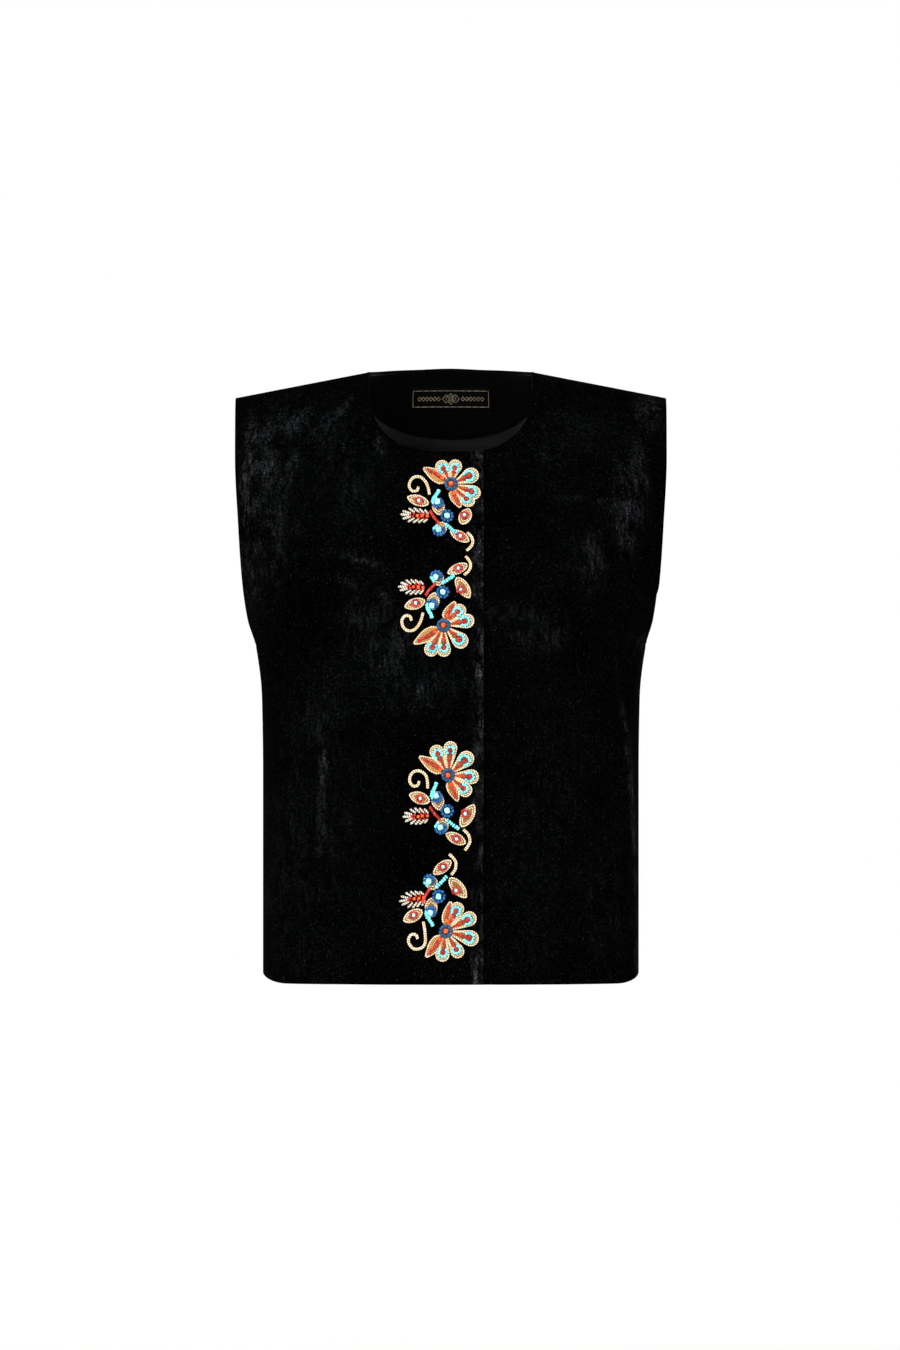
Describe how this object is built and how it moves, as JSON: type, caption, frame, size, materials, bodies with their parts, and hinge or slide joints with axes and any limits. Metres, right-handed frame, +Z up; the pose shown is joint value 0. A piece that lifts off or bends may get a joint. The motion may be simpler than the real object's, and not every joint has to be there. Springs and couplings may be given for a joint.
{
  "type": "velvet vest",
  "caption": "Hollow sleeveless black velvet vest with a round neck, a lapped open front and beaded flower sprays beside the front edge.",
  "frame": {"origin": "midway between the neck ends of the two shoulder seams, in the plane of the side seams", "axes": "+Z up, +X towards the wearer's left (the right of the picture), -Y out of the front"},
  "size_m": [0.4094, 0.2302, 0.5843],
  "materials": {
    "velvet": "matte",
    "lining": "satin",
    "facing": "matte",
    "label": "matte",
    "gold": "satin",
    "blue_beads": "gloss",
    "silver": "satin"
  },
  "bodies": {
    "root": {"front_right": "velvet", "front_left": "velvet", "back": "velvet", "back_lining": "lining", "back_neck_facing": "facing", "label": "label", "spray_1_flower": "gold", "spray_1_leaf_left": "gold", "spray_1_leaf_right": "gold", "spray_1_leaf_low": "gold", "spray_1_medallion_upper": "blue_beads", "spray_1_medallion_middle": "blue_beads", "spray_1_medallion_lower": "blue_beads", "spray_1_ear": "silver", "spray_1_tendril": "gold", "spray_1_tail": "gold", "spray_2_flower": "gold", "spray_2_leaf_left": "gold", "spray_2_leaf_right": "gold", "spray_2_leaf_low": "gold", "spray_2_medallion_upper": "blue_beads", "spray_2_medallion_middle": "blue_beads", "spray_2_medallion_lower": "blue_beads", "spray_2_ear": "silver", "spray_2_tendril": "gold", "spray_2_tail": "gold", "spray_3_flower": "gold", "spray_3_leaf_left": "gold", "spray_3_leaf_right": "gold", "spray_3_leaf_low": "gold", "spray_3_medallion_upper": "blue_beads", "spray_3_medallion_middle": "blue_beads", "spray_3_medallion_lower": "blue_beads", "spray_3_ear": "silver", "spray_3_tendril": "gold", "spray_3_tail": "gold", "spray_4_flower": "gold", "spray_4_leaf_left": "gold", "spray_4_leaf_right": "gold", "spray_4_leaf_low": "gold", "spray_4_medallion_upper": "blue_beads", "spray_4_medallion_middle": "blue_beads", "spray_4_medallion_lower": "blue_beads", "spray_4_ear": "silver", "spray_4_tendril": "gold", "spray_4_tail": "gold"}
  },
  "joints": []
}
